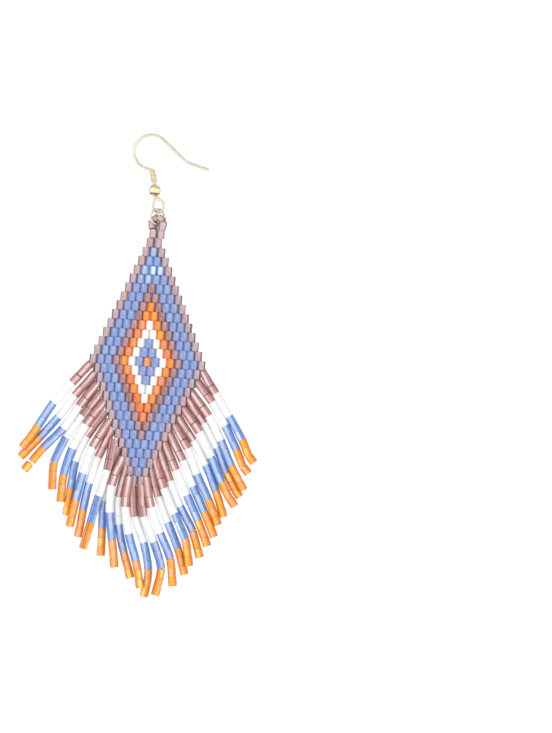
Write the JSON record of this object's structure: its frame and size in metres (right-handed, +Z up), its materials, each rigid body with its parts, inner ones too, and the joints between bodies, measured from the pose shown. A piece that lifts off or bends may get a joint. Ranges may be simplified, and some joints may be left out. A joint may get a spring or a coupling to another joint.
{
  "type": "beaded earring",
  "caption": "Drop earring: a fish-hook ear wire, and a diamond panel of seed beads with a graded bead fringe along its lower edges.",
  "frame": {"origin": "inside top of the ear wire's arch, where it rests in the ear and the earring hangs", "axes": "+X across the bead panel towards the tail of the ear wire, +Y to the back, +Z up"},
  "size_m": [0.0576, 0.0036, 0.1067],
  "materials": {
    "gold": "polished pale gold plating",
    "mauve_beads": "transparent dusty rose glass",
    "blue_beads": "pearly periwinkle glass",
    "white_beads": "opaque white glass",
    "orange_beads": "lustred golden orange glass",
    "thread": "fine nylon beading thread"
  },
  "bodies": {
    "hook": {"ear_hook": "gold", "hook_coil": "gold", "hook_ball": "gold"},
    "ring": {"jump_ring": "gold"},
    "drop": {"hanger_loop": "mauve_beads", "bead_panel": "blue_beads", "fringe": "mauve_beads"}
  },
  "joints": [
    {"name": "ring_sway", "type": "hinge", "parent": "hook", "child": "ring", "pos_m": [0.00251, -0.00041, -0.01614], "axis": [-0.4067, -0.9135, 0], "range_deg": [-30, 30]},
    {"name": "drop_rock", "type": "hinge", "parent": "ring", "child": "drop", "pos_m": [0.00251, -0.00041, -0.02019], "axis": [0.8387, 0.5446, 0], "range_deg": [-20, 20]}
  ]
}
